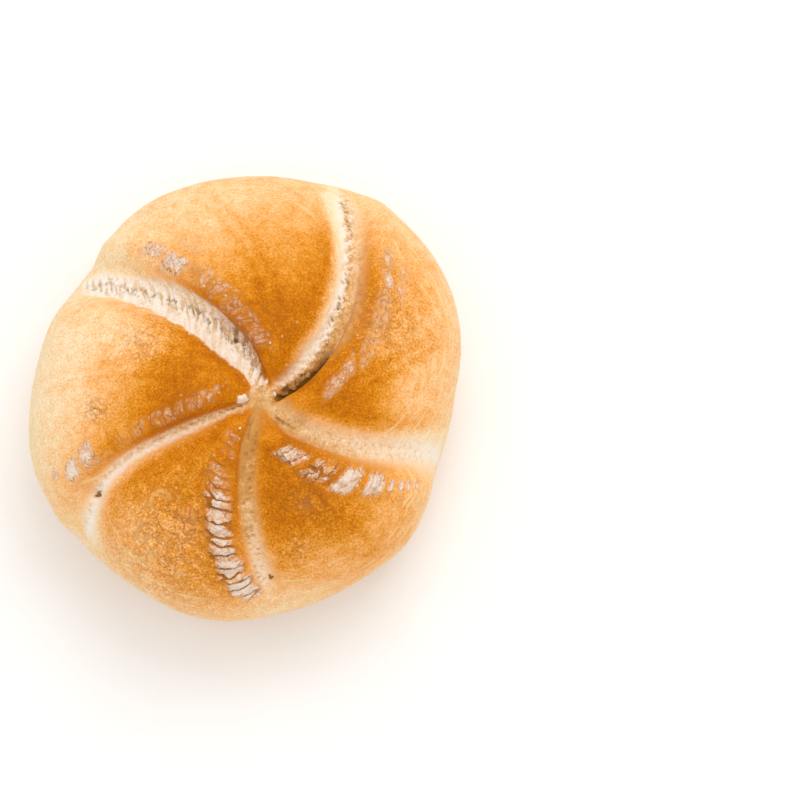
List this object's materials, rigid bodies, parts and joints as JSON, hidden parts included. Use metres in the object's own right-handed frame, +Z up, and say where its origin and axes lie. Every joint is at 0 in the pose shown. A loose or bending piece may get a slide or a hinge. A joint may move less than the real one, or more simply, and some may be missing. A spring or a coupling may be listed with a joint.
{
  "type": "bread roll",
  "caption": "Round crusty bread roll with curved folds that swirl out from a star on its top, torn crumb in the widest folds and a flat base.",
  "frame": {"origin": "middle of the flat base", "axes": "+Z up out of the star; -Y is the side nearest the viewer of the picture"},
  "size_m": [0.104, 0.1082, 0.0506],
  "materials": {
    "baked_crust": "satin baked wheat crust, golden to deep brown, with pale matt crumb in the folds and flour on the ridges"
  },
  "bodies": {
    "root": {"bread_roll": "baked_crust"}
  },
  "joints": []
}
